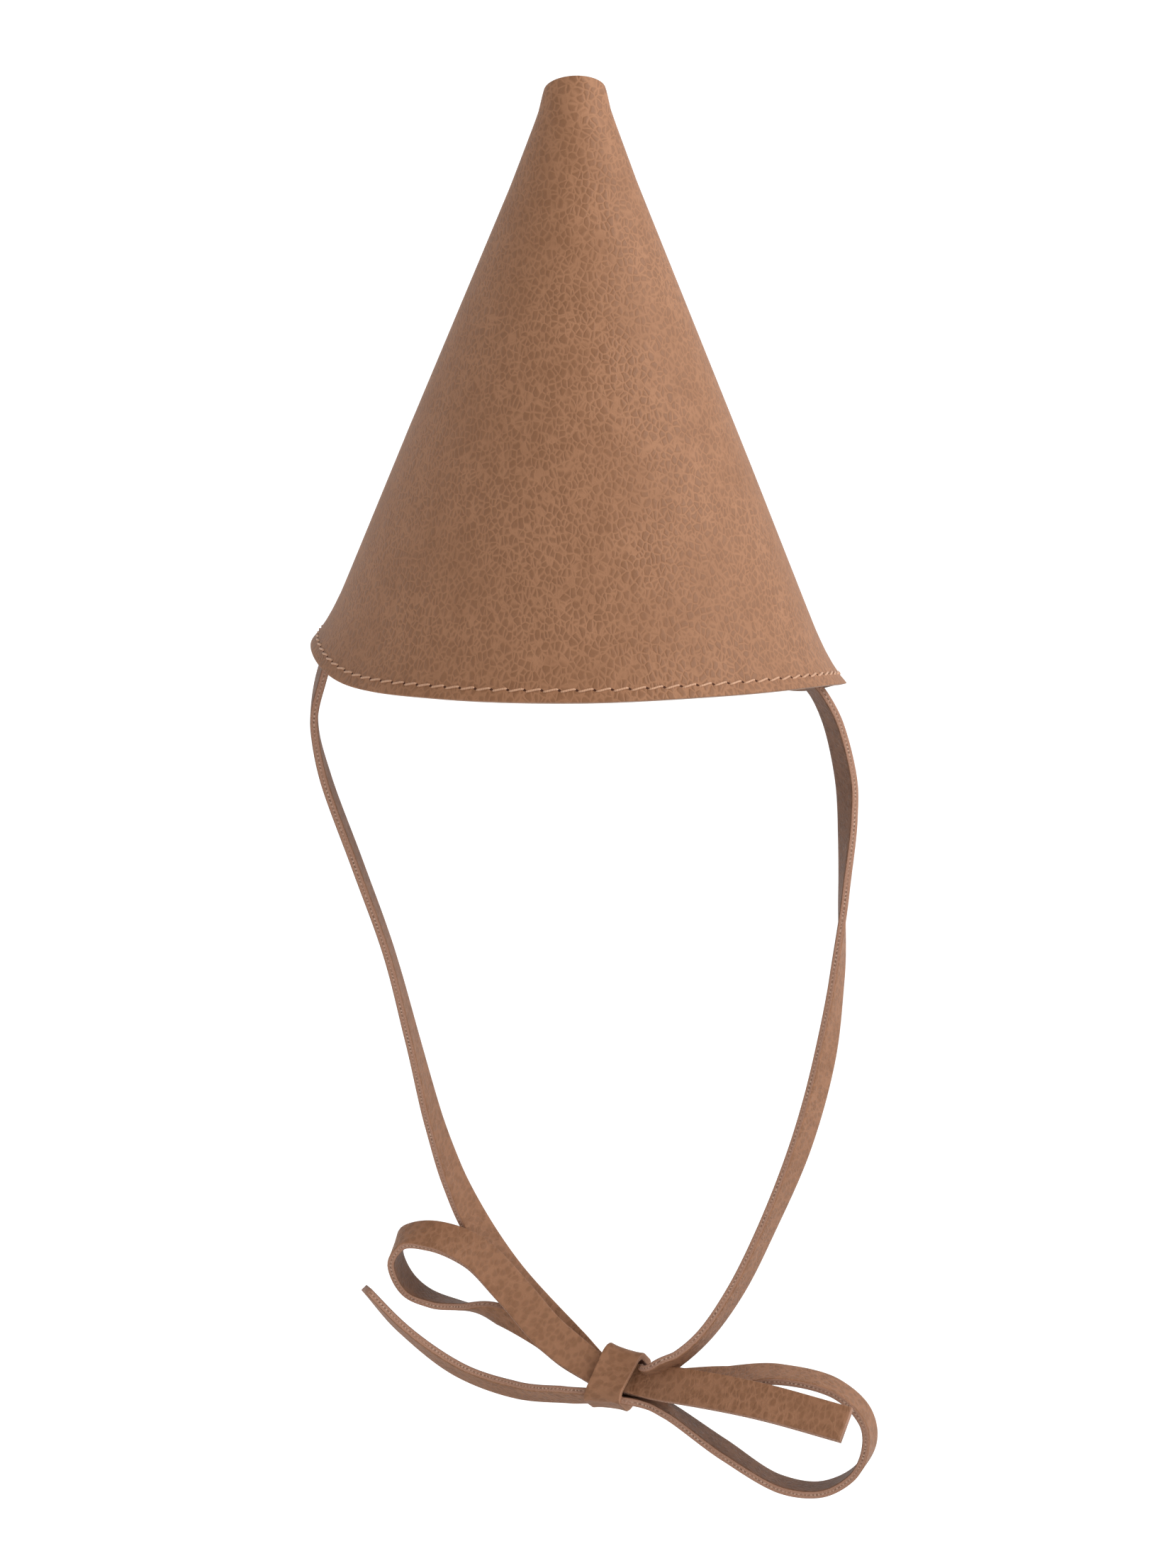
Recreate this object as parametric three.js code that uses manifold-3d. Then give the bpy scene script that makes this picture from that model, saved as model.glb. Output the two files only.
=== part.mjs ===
// A leather party hat: a rolled cone with an open tip and a flared, wavy rim,
// and two flat leather chin ties that hang from inside the rim and meet in a bow.
// Millimetres, +Z up, the wearer looks along -Y. The origin is the middle of the rim, where the hat sits.

import * as THREE from 'three';
import { mergeVertices } from 'three/addons/utils/BufferGeometryUtils.js';
import Module from 'manifold-3d';

// Driving dimensions of the cone
const WALL = 2.2;
const RIM_LONG = 77.3;
const RIM_SHORT = 72.7;
const RIM_TURN = -45;
const TIP_HEIGHT = 158.6;
const TIP_RADIUS = 6.1;
const TIP_SLOPE = 20;
const TIP_TURN = 5;
const TIP_SHIFT = -0.6;
const COLUMNS = 84;

// The rim is cut nearer level than square to the wall: its inner corner lies this far up the wall
const RIM_CUT = 1;

// How far the rim stands above or below its mean height, by direction in degrees from +X
const RIM_WAVE = [
  { turn: 0, rise: -4.4 },
  { turn: 30, rise: -10.3 },
  { turn: 60, rise: -5.8 },
  { turn: 90, rise: -0.5 },
  { turn: 120, rise: 5 },
  { turn: 150, rise: 8.5 },
  { turn: 180, rise: 6.6 },
  { turn: 210, rise: 0.1 },
  { turn: 240, rise: -0.5 },
  { turn: 270, rise: -0.1 },
  { turn: 300, rise: 0.7 },
  { turn: 330, rise: -0.2 },
];

// Flare: how far the wall stands outside the straight cone, by height above the rim
const FLARE = [
  { up: 0, out: 2.8 },
  { up: 2.5, out: 1.8 },
  { up: 5.5, out: 1.0 },
  { up: 9, out: 0.45 },
  { up: 14, out: 0.1 },
  { up: 20, out: 0.1 },
  { up: 60, out: 0.45 },
];

// Neck: the same, by depth below the tip
const NECK = [
  { down: 26, out: 0 },
  { down: 16, out: 0.35 },
  { down: 9, out: 0.6 },
  { down: 6, out: 0.8 },
  { down: 3, out: 1.35 },
  { down: 1.3, out: 1.65 },
  { down: 0, out: 1.75 },
];

// Heights between flare and neck that get a row of facets, as a share of the cone's height
const STRAIGHT_ROWS = [0.26, 0.54, 0.7];

// The back of the cone is lapped: a strip of the sheet's edge stands proud of the wall
const LAP_WIDTH = 9;
const LAP_RAISED = 1.2;
const LAP_SUNK = 0.6;
const LAP_MARGIN = 1.5;

// Driving dimensions of the ties
const TIE_WIDTH = 10.5;
const TIE_THICK = 2.2;
const TIE_CORNER = 0.5;
const TIE_STEP = 4.5;
const ROLL_TENSION = 0.3;
const LOOP_SHARE = 0.64;
const CORNER_TURNS = [0, 30, 60, 90];

// Knot: the wrap that holds the four strands of the bow. The strands run along it, sloping down to the right,
// with the right end turned toward the front and the top leaning back.
const KNOT_CENTRE = new THREE.Vector3(11.2, 3.2, -209.1);
const KNOT_SLOPE = 8;
const KNOT_TURN = 24;
const KNOT_LEAN = 30;

// The knot squeezes the straps: their width shrinks by this share inside it, and is whole again at the reach
const KNOT_SQUEEZE = 0.12;
const SQUEEZE_NEAR = 7;
const SQUEEZE_REACH = 20;

// Inside of the wrap as seen along the knot: four rounded corners, each turning a quarter from its start.
// The band is wider round at its left end, and its upper part is set further to the right.
const WRAP_WIDTH = 10.5;
const WRAP_SKEW = 0.12;
const WRAP_CORNERS = [
  { start: 0, left: { back: 4, up: 4.7, round: 1.3 }, right: { back: 6, up: 4.7, round: 1.3 } },
  { start: 90, left: { back: -1.65, up: 4.95, round: 1.5 }, right: { back: -0.1, up: 4.9, round: 1.5 } },
  { start: 180, left: { back: -1.5, up: -5.4, round: 1.5 }, right: { back: -1.9, up: -3.3, round: 1.5 } },
  { start: 270, left: { back: 6.2, up: -5.8, round: 1.3 }, right: { back: 6, up: -4, round: 1.3 } },
];

// The wrap curls outward at its two edges: place along the knot, as a share of half the width
const WRAP_CURL = [
  { along: -1, out: 0.5 },
  { along: -0.6, out: 0.1 },
  { along: 0, out: 0 },
  { along: 0.6, out: 0.1 },
  { along: 1, out: 0.5 },
];

// Strands through the wrap, from left to right: place of the middle line along, behind and above the knot's
// centre. Tilt is how far the strap's upper edge leans back: at -90 the strap lies flat.
const STRANDS = {
  frontStrip: [
    { along: -6.2, back: -1.4, up: 0.55, tilt: 0 },
    { along: 0, back: -1.1, up: 0.6, tilt: 7 },
    { along: 6.2, back: -0.5, up: 0.75, tilt: 15 },
  ],
  returnStrip: [
    { along: -6.2, back: 1.1, up: 0.55, tilt: 0 },
    { along: 0, back: 1.3, up: 0.8, tilt: 3 },
    { along: 5.4, back: 1.6, up: 1.05, tilt: 0 },
    { along: 9, back: 1, up: 2.1, tilt: -15 },
  ],
  neckStrap: [
    { along: -6.2, back: 3.9, up: 0.6, tilt: 0 },
    { along: 0, back: 4.2, up: 0.6, tilt: 2 },
    { along: 6.2, back: 4.6, up: 0.6, tilt: 2 },
  ],
  lowerStrip: [
    { along: -6.2, back: 2.9, up: -6.9, tilt: -78 },
    { along: 0, back: 2.3, up: -6.1, tilt: -88 },
    { along: 6.2, back: 1.8, up: -5.1, tilt: -98 },
  ],
};

// Routes of the ties. Roll 0 has the tie's width running front to back, 90 has its face to the front.
const RIGHT_TIE_DOWN = [
  { x: 58.6, y: 13, z: 9, roll: -15 },
  { x: 61.7, y: 13.4, z: 1, roll: -15 },
  { x: 65.1, y: 13.8, z: -4.5, roll: -15 },
  { x: 69, y: 14, z: -9.4, roll: -16 },
  { x: 73.1, y: 15, z: -17.7, roll: -20 },
  { x: 77.1, y: 16, z: -33.9, roll: -23 },
  { x: 77.7, y: 15.5, z: -44.5, roll: -18 },
  { x: 76.7, y: 13, z: -66.9, roll: -1 },
  { x: 74.7, y: 8.5, z: -91, roll: 20 },
  { x: 70.7, y: 3, z: -114.7, roll: 34 },
  { x: 63.8, y: -1.5, z: -138.7, roll: 35 },
  { x: 53.7, y: -4.5, z: -163.1, roll: 29 },
  { x: 45.6, y: -6, z: -179.5, roll: 29 },
  { x: 37.2, y: -7, z: -191.9, roll: 28 },
  { x: 30.3, y: -6, z: -199, roll: 31 },
  { x: 25.7, y: -4.5, z: -202.4, roll: 42 },
];

const LEFT_LOOP = [
  { x: 1, y: 8.6, z: -205.7, roll: 95 },
  { x: -10.9, y: 14, z: -199.2, roll: 66 },
  { x: -24.5, y: 19.5, z: -195.2, roll: 45 },
  { x: -34.9, y: 24, z: -194.5, roll: 14 },
  { x: -43.9, y: 25, z: -192.6, roll: -1 },
  { x: -50.8, y: 24.5, z: -187.8, roll: -15 },
  { x: -54.2, y: 22, z: -178.6, roll: -12 },
  { x: -51.6, y: 20, z: -172.1, roll: 11 },
  { x: -42.9, y: 18, z: -170.9, roll: 32 },
  { x: -30.6, y: 16.5, z: -175.5, roll: 52 },
  { x: -19.8, y: 14, z: -185.9, roll: 71 },
  { x: -8.3, y: 9.5, z: -198, roll: 73 },
  { x: 2, y: 6.4, z: -205.3, roll: 70 },
];

const RIGHT_TAIL = [
  { x: 29.6, y: -9, z: -207.3, roll: 50 },
  { x: 51.6, y: -22.2, z: -206.9, roll: 50 },
  { x: 75.4, y: -34, z: -209.5, roll: 49 },
];

const LEFT_TIE_DOWN = [
  { x: -60.8, y: 0, z: 22, roll: -6 },
  { x: -65.5, y: 0, z: 13, roll: -7 },
  { x: -69.2, y: 0, z: 5, roll: -9 },
  { x: -71.9, y: 0, z: -3, roll: -10 },
  { x: -73.9, y: 0, z: -12.6, roll: -5 },
  { x: -73.7, y: 0.5, z: -19.7, roll: -4 },
  { x: -71, y: 1.5, z: -32, roll: 1 },
  { x: -62.6, y: 4, z: -57, roll: 2 },
  { x: -54.4, y: 7.5, z: -82.4, roll: 2 },
  { x: -48.3, y: 12.6, z: -108.7, roll: 7 },
  { x: -42.4, y: 19, z: -135.9, roll: 16 },
  { x: -37.1, y: 23.5, z: -154.4, roll: 26 },
  { x: -31.3, y: 27, z: -168.6, roll: 37 },
  { x: -20.9, y: 27.5, z: -185.7, roll: 47 },
  { x: -5.8, y: 21, z: -201.3, roll: 60 },
];

const RIGHT_LOOP = [
  { x: 30.1, y: 4.5, z: -211.7, roll: 30 },
  { x: 42.2, y: -3, z: -207.5, roll: 11 },
  { x: 58.1, y: -11, z: -203.1, roll: 3 },
  { x: 74.1, y: -15, z: -205.9, roll: 6 },
  { x: 82.3, y: -16.5, z: -213.7, roll: 14 },
  { x: 83.6, y: -16, z: -222.7, roll: 20 },
  { x: 79.7, y: -14.5, z: -231.4, roll: 15 },
  { x: 70.6, y: -12, z: -237.3, roll: 8 },
  { x: 58.6, y: -9, z: -236.9, roll: 1 },
  { x: 42.2, y: -5.5, z: -227.7, roll: -6 },
  { x: 25.8, y: -2, z: -217.1, roll: 0 },
  { x: 21.5, y: -0.8, z: -215.7, roll: 8 },
];

const LEFT_TAIL = [
  { x: -3.2, y: 9, z: -216.6, roll: 40 },
  { x: -17.9, y: 15.5, z: -217.6, roll: 39 },
  { x: -34.9, y: 19, z: -212.8, roll: 33 },
  { x: -51.7, y: 20.5, z: -200.6, roll: 24 },
  { x: -62.8, y: 20.5, z: -188.2, roll: 17 },
];

const LEATHER = new THREE.MeshStandardMaterial({ color: 0x9a735b, roughness: 0.62, metalness: 0 });
const TIE_LEATHER = new THREE.MeshStandardMaterial({ color: 0x8f6d57, roughness: 0.65, metalness: 0 });

const radians = THREE.MathUtils.degToRad;

// A value between the rows of a table, straight from row to row
function between(table, key, column, value) {
  const last = table.length - 1;
  const rising = table[last][key] > table[0][key];
  for (let row = 0; row < last; row += 1) {
    const from = table[row];
    const to = table[row + 1];
    const inside = rising ? value <= to[key] : value >= to[key];
    if (inside) {
      const share = THREE.MathUtils.clamp((value - from[key]) / (to[key] - from[key]), 0, 1);
      return THREE.MathUtils.lerp(from[column], to[column], share);
    }
  }
  return table[last][column];
}

// The rim's height, smooth all the way round
const rimCurve = new THREE.CatmullRomCurve3(
  RIM_WAVE.map((row) => new THREE.Vector3(row.turn, row.rise, 0)),
  true,
  'catmullrom',
);

function rimHeight(angle) {
  const share = THREE.MathUtils.euclideanModulo(angle / (2 * Math.PI), 1);
  return rimCurve.getPoint(share).y;
}

function rimRadius(angle) {
  const off = angle - radians(RIM_TURN);
  const across = Math.hypot(RIM_SHORT * Math.cos(off), RIM_LONG * Math.sin(off));
  return (RIM_LONG * RIM_SHORT) / across;
}

function tipHeight(angle) {
  const reach = TIP_RADIUS + FLARE[FLARE.length - 1].out + NECK[NECK.length - 1].out;
  return TIP_HEIGHT - reach * Math.sin(angle - radians(TIP_TURN)) * Math.tan(radians(TIP_SLOPE));
}

// Radius and height of the cone's outer face at one direction and height share
function outerProfile(angle, share) {
  const bottom = rimHeight(angle);
  const top = tipHeight(angle);
  const z = THREE.MathUtils.lerp(bottom, top, share);
  const straight = THREE.MathUtils.lerp(rimRadius(angle) - FLARE[0].out, TIP_RADIUS, share);
  const out = between(FLARE, 'up', 'out', z - bottom) + between(NECK, 'down', 'out', top - z);
  return new THREE.Vector2(straight + out, z);
}

// The same for the inner face, one wall thickness in from the outer face
function innerProfile(angle, share) {
  const step = 0.004;
  const here = outerProfile(angle, share);
  const below = outerProfile(angle, Math.max(share - step, 0));
  const above = outerProfile(angle, Math.min(share + step, 1));
  const along = above.sub(below).normalize();
  const cut = share > 0 ? 0 : RIM_CUT;
  return new THREE.Vector2(here.x - WALL * along.y + cut * along.x, here.y + WALL * along.x + cut * along.y);
}

function conePoint(angle, profile, share) {
  return new THREE.Vector3(
    profile.x * Math.cos(angle) + TIP_SHIFT * share,
    profile.x * Math.sin(angle),
    profile.y,
  );
}

// Height shares of the facet rows, close together in the flare and the neck
function heightShares() {
  const mean = TIP_HEIGHT;
  const flare = FLARE.map((row) => row.up / mean);
  const neck = NECK.map((row) => 1 - row.down / mean);
  return [...flare, ...STRAIGHT_ROWS, ...neck].sort((a, b) => a - b);
}

// A closed body from rings of points: each ring joins the next, and the last joins the first
function bodyFromRings(rings, closed) {
  const count = rings[0].length;
  const positions = rings.flat().flatMap((point) => point.toArray());
  const faces = [];
  const joins = closed ? rings.length : rings.length - 1;
  for (let ring = 0; ring < joins; ring += 1) {
    const next = (ring + 1) % rings.length;
    for (let at = 0; at < count; at += 1) {
      const side = (at + 1) % count;
      const a = ring * count + at;
      const b = ring * count + side;
      const c = next * count + side;
      const d = next * count + at;
      faces.push(a, b, c, a, c, d);
    }
  }
  if (!closed) {
    const end = (rings.length - 1) * count;
    for (let at = 1; at < count - 1; at += 1) {
      faces.push(0, at + 1, at);
      faces.push(end, end + at, end + at + 1);
    }
  }
  const geometry = new THREE.BufferGeometry();
  geometry.setAttribute('position', new THREE.Float32BufferAttribute(positions, 3));
  geometry.setIndex(faces);
  return geometry;
}

const wasm = await Module();
wasm.setup();

function toSolid(geometry) {
  const merged = mergeVertices(geometry, 1e-4);
  const vertProperties = new Float32Array(merged.attributes.position.array);
  const triVerts = new Uint32Array(merged.index.array);
  return new wasm.Manifold(new wasm.Mesh({ numProp: 3, vertProperties, triVerts }));
}

function toGeometry(solid) {
  const mesh = solid.getMesh();
  const geometry = new THREE.BufferGeometry();
  geometry.setAttribute('position', new THREE.Float32BufferAttribute(mesh.vertProperties, 3));
  geometry.setIndex(new THREE.Uint32BufferAttribute(mesh.triVerts, 1));
  return geometry;
}

// The cone's wall: up the outer face, over the tip and down the inner face
function coneWall() {
  const shares = heightShares();
  const rings = [];
  const ringOf = (profileOf, share) => {
    const ring = [];
    for (let column = 0; column < COLUMNS; column += 1) {
      const angle = (2 * Math.PI * column) / COLUMNS;
      ring.push(conePoint(angle, profileOf(angle, share), share));
    }
    return ring;
  };
  shares.forEach((share) => rings.push(ringOf(outerProfile, share)));
  shares.reverse().forEach((share) => rings.push(ringOf(innerProfile, share)));
  return bodyFromRings(rings, true);
}

// The raised strip of the back lap, from just above the rim to just below the tip
function backLap() {
  const angle = Math.PI / 2;
  const height = tipHeight(angle) - rimHeight(angle);
  const margin = LAP_MARGIN / height;
  const shares = heightShares().filter((share) => share > margin && share < 1 - margin);
  const rings = [margin, ...shares, 1 - margin].map((share) => {
    const middle = outerProfile(angle, share).x;
    const half = LAP_WIDTH / 2 / middle;
    const corner = (side, lift) => {
      const at = angle + side * half;
      const profile = outerProfile(at, share);
      profile.x += lift;
      return conePoint(at, profile, share);
    };
    return [
      corner(-1, -LAP_SUNK),
      corner(-1, LAP_RAISED),
      corner(0, LAP_RAISED),
      corner(1, LAP_RAISED),
      corner(1, -LAP_SUNK),
      corner(0, -LAP_SUNK),
    ];
  });
  return bodyFromRings(rings, false);
}

function makeCrown() {
  const solid = toSolid(coneWall()).add(toSolid(backLap()));
  const mesh = new THREE.Mesh(toGeometry(solid), LEATHER);
  mesh.name = 'crown';
  return mesh;
}

// Directions of the knot: along the strands, above them and behind them
const slope = radians(KNOT_SLOPE);
const turn = radians(KNOT_TURN);
const lean = radians(KNOT_LEAN);
const knotAlong = new THREE.Vector3(
  Math.cos(slope) * Math.cos(turn),
  -Math.cos(slope) * Math.sin(turn),
  -Math.sin(slope),
);
const knotLevel = new THREE.Vector3(Math.sin(turn), Math.cos(turn), 0);
const knotUp = new THREE.Vector3().crossVectors(knotAlong, knotLevel).applyAxisAngle(knotAlong, -lean);
const knotBack = new THREE.Vector3().crossVectors(knotUp, knotAlong);

function knotPoint(along, back, up) {
  return KNOT_CENTRE.clone()
    .addScaledVector(knotAlong, along)
    .addScaledVector(knotBack, back)
    .addScaledVector(knotUp, up);
}

// The part of the front direction that is square to a strap's run, and the direction beside it
function strapAxes(along) {
  const front = new THREE.Vector3(0, -1, 0);
  const level = front.addScaledVector(along, -front.dot(along)).normalize();
  const beside = new THREE.Vector3().crossVectors(along, level);
  return { level, beside };
}

// Route rows that carry a strand through the wrap: way 1 runs to the right, -1 to the left
function throughKnot(strand, way) {
  const { level, beside } = strapAxes(knotAlong.clone().multiplyScalar(way));
  const rows = strand.map((row) => {
    const tilt = radians(row.tilt);
    const across = knotUp.clone().multiplyScalar(-way * Math.cos(tilt))
      .addScaledVector(knotBack, -way * Math.sin(tilt));
    const { x, y, z } = knotPoint(row.along, row.back, row.up);
    return { x, y, z, roll: THREE.MathUtils.radToDeg(Math.atan2(across.dot(beside), across.dot(level))) };
  });
  return way > 0 ? rows : rows.reverse();
}

// Half the width of a strap at a point: less inside the knot
function halfWidth(point) {
  const away = THREE.MathUtils.smoothstep(point.distanceTo(KNOT_CENTRE), SQUEEZE_NEAR, SQUEEZE_REACH);
  return (TIE_WIDTH / 2) * (1 - KNOT_SQUEEZE * (1 - away));
}

// Sections of a flat strap along a route, with its corners a little rounded off
function strapSections(route) {
  const path = new THREE.CatmullRomCurve3(route.map((row) => new THREE.Vector3(row.x, row.y, row.z)));
  const rolls = new THREE.CatmullRomCurve3(
    route.map((row, at) => new THREE.Vector3(at, row.roll, 0)),
    false,
    'catmullrom',
    ROLL_TENSION,
  );
  const t = TIE_THICK / 2;
  const c = TIE_CORNER;
  const outlineOf = (w) => [
    [-w, t - c], [-w + c, t], [w - c, t], [w, t - c],
    [w, -t + c], [w - c, -t], [-w + c, -t], [-w, -t + c],
  ];
  const sectionAt = (share) => {
    const middle = path.getPoint(share);
    const along = path.getTangent(share);
    const roll = radians(rolls.getPoint(share).y);
    const { level, beside } = strapAxes(along);
    const across = level.multiplyScalar(Math.cos(roll)).addScaledVector(beside, Math.sin(roll));
    const normal = new THREE.Vector3().crossVectors(across, along);
    return outlineOf(halfWidth(middle))
      .map(([u, v]) => middle.clone().addScaledVector(across, u).addScaledVector(normal, v));
  };
  const segments = route.length - 1;
  const sections = [];
  for (let segment = 0; segment < segments; segment += 1) {
    const length = path.points[segment].distanceTo(path.points[segment + 1]);
    const steps = Math.max(2, Math.round(length / TIE_STEP));
    for (let step = 0; step < steps; step += 1) sections.push(sectionAt((segment + step / steps) / segments));
  }
  sections.push(sectionAt(1));
  return sections;
}

// The strap in two stretches that share a section, joined where they touch inside the knot
function strapSolid(route) {
  const sections = strapSections(route);
  const middle = Math.floor(sections.length * LOOP_SHARE);
  const first = toSolid(bodyFromRings(sections.slice(0, middle + 1), false));
  const second = toSolid(bodyFromRings(sections.slice(middle), false));
  return first.add(second);
}

// The wrap's inside outline grown outward by a distance, at a share of the way from its left end to its right:
// pairs of back and up
function wrapOutline(share, grow) {
  return WRAP_CORNERS.flatMap(({ start, left, right }) => CORNER_TURNS.map((turned) => {
    const angle = radians(start + turned);
    const round = THREE.MathUtils.lerp(left.round, right.round, share) + grow;
    const back = THREE.MathUtils.lerp(left.back, right.back, share) + round * Math.cos(angle);
    const up = THREE.MathUtils.lerp(left.up, right.up, share) + round * Math.sin(angle);
    return [back, up];
  }));
}

// The band round the knot: along its outside and back along its inside
function wrapBody() {
  const ring = (row, grow) => wrapOutline((row.along + 1) / 2, row.out + grow)
    .map(([back, up]) => knotPoint((row.along * WRAP_WIDTH) / 2 + WRAP_SKEW * up, back, up));
  const outside = WRAP_CURL.map((row) => ring(row, TIE_THICK));
  const inside = WRAP_CURL.map((row) => ring(row, 0)).reverse();
  return bodyFromRings([...outside, ...inside], true);
}

function makeTie(name, solids) {
  const mesh = new THREE.Mesh(toGeometry(solids), TIE_LEATHER);
  mesh.name = name;
  return mesh;
}

const rightRoute = [
  ...RIGHT_TIE_DOWN,
  ...throughKnot(STRANDS.returnStrip, -1),
  ...LEFT_LOOP,
  ...throughKnot(STRANDS.frontStrip, 1),
  ...RIGHT_TAIL,
];

const leftRoute = [
  ...LEFT_TIE_DOWN,
  ...throughKnot(STRANDS.neckStrap, 1),
  ...RIGHT_LOOP,
  ...throughKnot(STRANDS.lowerStrip, -1),
  ...LEFT_TAIL,
];

const hat = new THREE.Group();
hat.add(makeCrown());
hat.add(makeTie('tie_right', strapSolid(rightRoute)));
hat.add(makeTie('tie_left', strapSolid(leftRoute).add(toSolid(wrapBody()))));

export default hat;
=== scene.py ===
# A leather party hat with two chin ties knotted in a bow, held up as a head would hold it.
# Tables and named sizes are in millimetres and degrees, as in the part's source; meshes are in metres.

import math
from collections import namedtuple

import bpy
import numpy as np
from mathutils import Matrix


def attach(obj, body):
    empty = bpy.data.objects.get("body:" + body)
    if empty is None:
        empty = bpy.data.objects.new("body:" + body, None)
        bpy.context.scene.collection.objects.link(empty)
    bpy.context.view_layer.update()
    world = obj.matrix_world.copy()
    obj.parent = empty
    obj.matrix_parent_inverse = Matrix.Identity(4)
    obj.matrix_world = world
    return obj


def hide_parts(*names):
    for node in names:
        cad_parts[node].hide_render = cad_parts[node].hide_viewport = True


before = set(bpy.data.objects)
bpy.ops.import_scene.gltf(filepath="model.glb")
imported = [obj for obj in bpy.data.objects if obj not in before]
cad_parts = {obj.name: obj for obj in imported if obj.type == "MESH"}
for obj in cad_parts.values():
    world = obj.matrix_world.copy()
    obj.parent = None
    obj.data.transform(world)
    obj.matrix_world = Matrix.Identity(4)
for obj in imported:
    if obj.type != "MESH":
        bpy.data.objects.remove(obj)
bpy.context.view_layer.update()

MM = 0.001

# Angles from +X of the hat's front and back
FRONT = -math.pi / 2
BACK = math.pi / 2

# Kinds of quads in a mesh of leather, which are also the numbers of their materials
FACE, CUT, INNER = 0, 1, 2

# Camera
CAMERA_TARGET = (3.0, 0.0, -33.0)
CAMERA_DISTANCE = 850
CAMERA_ELEVATION = 9
CAMERA_LENS = 69.17

# Cone
WALL = 2.2
RIM_LONG = 77.3
RIM_SHORT = 72.7
RIM_TURN = -45
TIP_HEIGHT = 158.6
TIP_RADIUS = 6.1
TIP_SLOPE = 20
TIP_TURN = 5
TIP_SHIFT = -0.6
RIM_CUT = 1.0
EDGE_ROUND = 0.4

# Height of the rim every 30 degrees round from +X
RIM_WAVE = (-4.4, -10.3, -5.8, -0.5, 5, 8.5, 6.6, 0.1, -0.5, -0.1, 0.7, -0.2)

# How far the wall stands outside the straight cone, by height above the rim and by depth below the tip
Flare = namedtuple("Flare", "up out")
FLARE = [
    Flare(0, 2.8), Flare(2.5, 1.8), Flare(5.5, 1.0), Flare(9, 0.45),
    Flare(14, 0.1), Flare(20, 0.1), Flare(60, 0.45),
]
Neck = namedtuple("Neck", "down out")
NECK = [
    Neck(0, 1.75), Neck(1.3, 1.65), Neck(3, 1.35), Neck(6, 0.8), Neck(9, 0.6), Neck(16, 0.35), Neck(26, 0),
]

# Mesh of the wall: columns round it, rows above the rim and below the tip, and even rows between them
COLUMNS = 360
ROWS_ABOVE_RIM = (0.8, 1.4, 2.2, 3.0, 3.6, 4.0, 4.2, 4.4, 4.6, 4.8, 5.2, 6, 7, 8.5, 10, 12, 14.5, 17, 20)
ROWS_BELOW_TIP = (18, 15.5, 13, 11, 9, 7.5, 6.2, 5, 4, 3.2, 2.4, 1.7, 1.1, 0.6)
MIDDLE_ABOVE_RIM = 23
MIDDLE_BELOW_TIP = 21
MIDDLE_ROWS = 60

# Points of a cut edge: turns of its rounded corners. For the wall also shares of the way through between the
# corners, and how many quads of each corner keep the face's grain.
CORNER_TURNS = (0, 30, 60, 90)
EDGE_SHARES = (0.33, 0.5, 0.67)
CORNER_QUADS = 2

# The place on the flat sheet jumps at the seam, so every column counts as lying just beside its own angle
BESIDE_SEAM = 1e-6

# How far to each side a curve is looked up to find its direction: in shares of the wall's height or in stops
SLOPE_STEP = 0.002

# Lap at the back, where the sheet's two ends are joined
LAP_WIDTH = 9
LAP_RAISED = 1.2
LAP_STEP = 0.5

# Stitches round the rim, in a shallow groove. The slant is the length up the wall for a millimetre of height.
WALL_SLANT = 1.1
GROOVE_DEEP = 0.1
GROOVE_WIDE = 0.7
LINE_POINTS = 1441
STITCH_UP = 3.1
STITCH_PITCH = 4.56
STITCH_PHASE = 0.2
THREAD_RADIUS = 0.34
THREAD_SLANT = 0.35
THREAD_PROUD = 0.14
THREAD_SINK = 0.22
THREAD_INSET = 0.25
THREAD_THINNING = 0.3
THREAD_RINGS = 11
THREAD_SIDES = 8
HOLE_LONG = 0.55
HOLE_WIDE = 0.34
HOLE_LEAN = -38
HOLE_PROUD = 0.05
HOLE_SIDES = 12

# Ties. The margin is how far in from a cut edge its own material reaches.
TIE_WIDTH = 10.5
TIE_THICK = 2.2
TIE_ROUND = 0.38
TIE_STEP = 1.0
ROLL_TENSION = 0.3
FACE_POINTS = 9
EDGE_MARGIN = 0.12

# Knot
KNOT_CENTRE = np.array((11.2, 3.2, -209.1))
KNOT_SLOPE = 8
KNOT_TURN = 24
KNOT_LEAN = 30
KNOT_SQUEEZE = 0.12
SQUEEZE_NEAR = 7
SQUEEZE_REACH = 20

# Inside of the wrap as seen along the knot: place back, place up and bend of each corner, at its two ends.
# Each bend has that many points, and each straight side that many steps.
WRAP_WIDTH = 10.5
WRAP_SKEW = 0.12
BEND_POINTS = 13
SIDE_STEPS = 8
Corner = namedtuple("Corner", "start left right")
WRAP_CORNERS = [
    Corner(0, (4, 4.7, 1.3), (6, 4.7, 1.3)),
    Corner(90, (-1.65, 4.95, 1.5), (-0.1, 4.9, 1.5)),
    Corner(180, (-1.5, -5.4, 1.5), (-1.9, -3.3, 1.5)),
    Corner(270, (6.2, -5.8, 1.3), (6, -4, 1.3)),
]
Curl = namedtuple("Curl", "along out")
WRAP_CURL = [Curl(-1, 0.5), Curl(-0.6, 0.1), Curl(0, 0), Curl(0.6, 0.1), Curl(1, 0.5)]

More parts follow.
